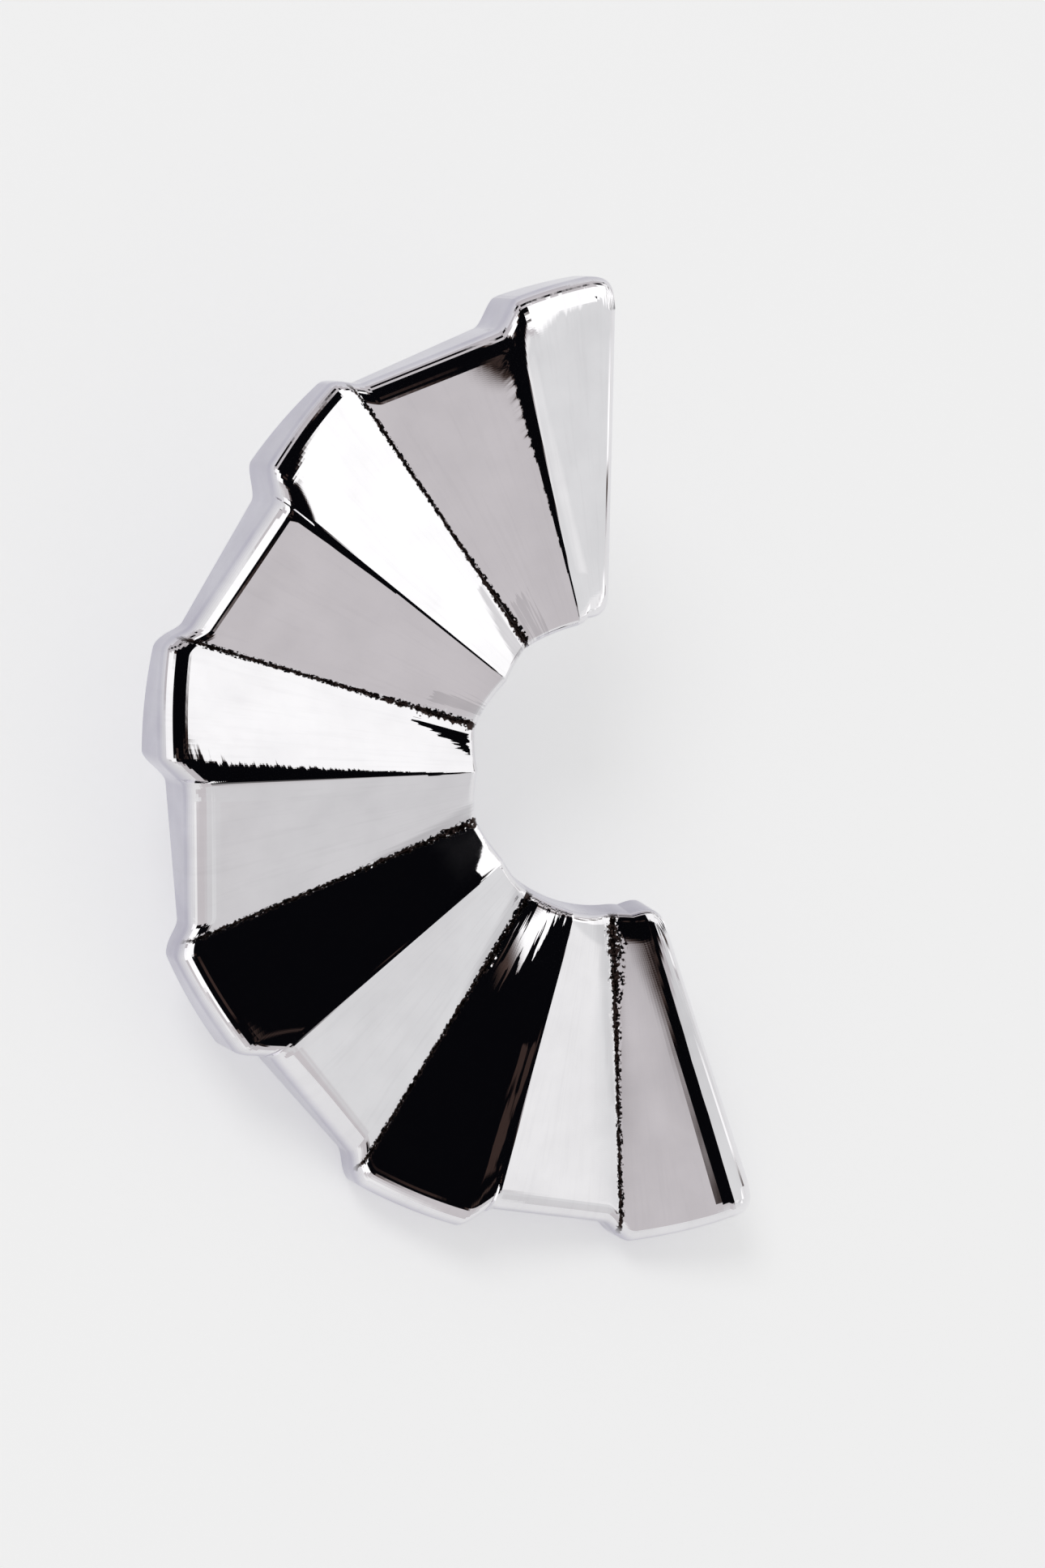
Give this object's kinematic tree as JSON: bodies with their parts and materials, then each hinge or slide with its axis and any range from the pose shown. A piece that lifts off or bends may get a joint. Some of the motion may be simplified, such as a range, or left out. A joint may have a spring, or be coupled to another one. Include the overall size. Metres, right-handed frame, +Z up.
{
  "type": "fan stud earring",
  "caption": "Pleated half-fan stud earring in mirror-polished silver-coloured metal, with a straight ear post behind, resting on its back.",
  "frame": {"origin": "on the table, under the middle of the bounding box of the stud as it rests on its back", "axes": "+Z up from the table; +Y towards the raised end of the fan, along its longest extent; +X towards the side where the bay is open"},
  "size_m": [0.026, 0.038, 0.0159],
  "materials": {
    "polished_plate": "mirror polished, with fine brush marks and rough casting residue along the valleys",
    "post_wire": "drawn wire, softly polished"
  },
  "bodies": {
    "root": {"fan_plate": "polished_plate", "ear_post": "post_wire"}
  },
  "joints": []
}
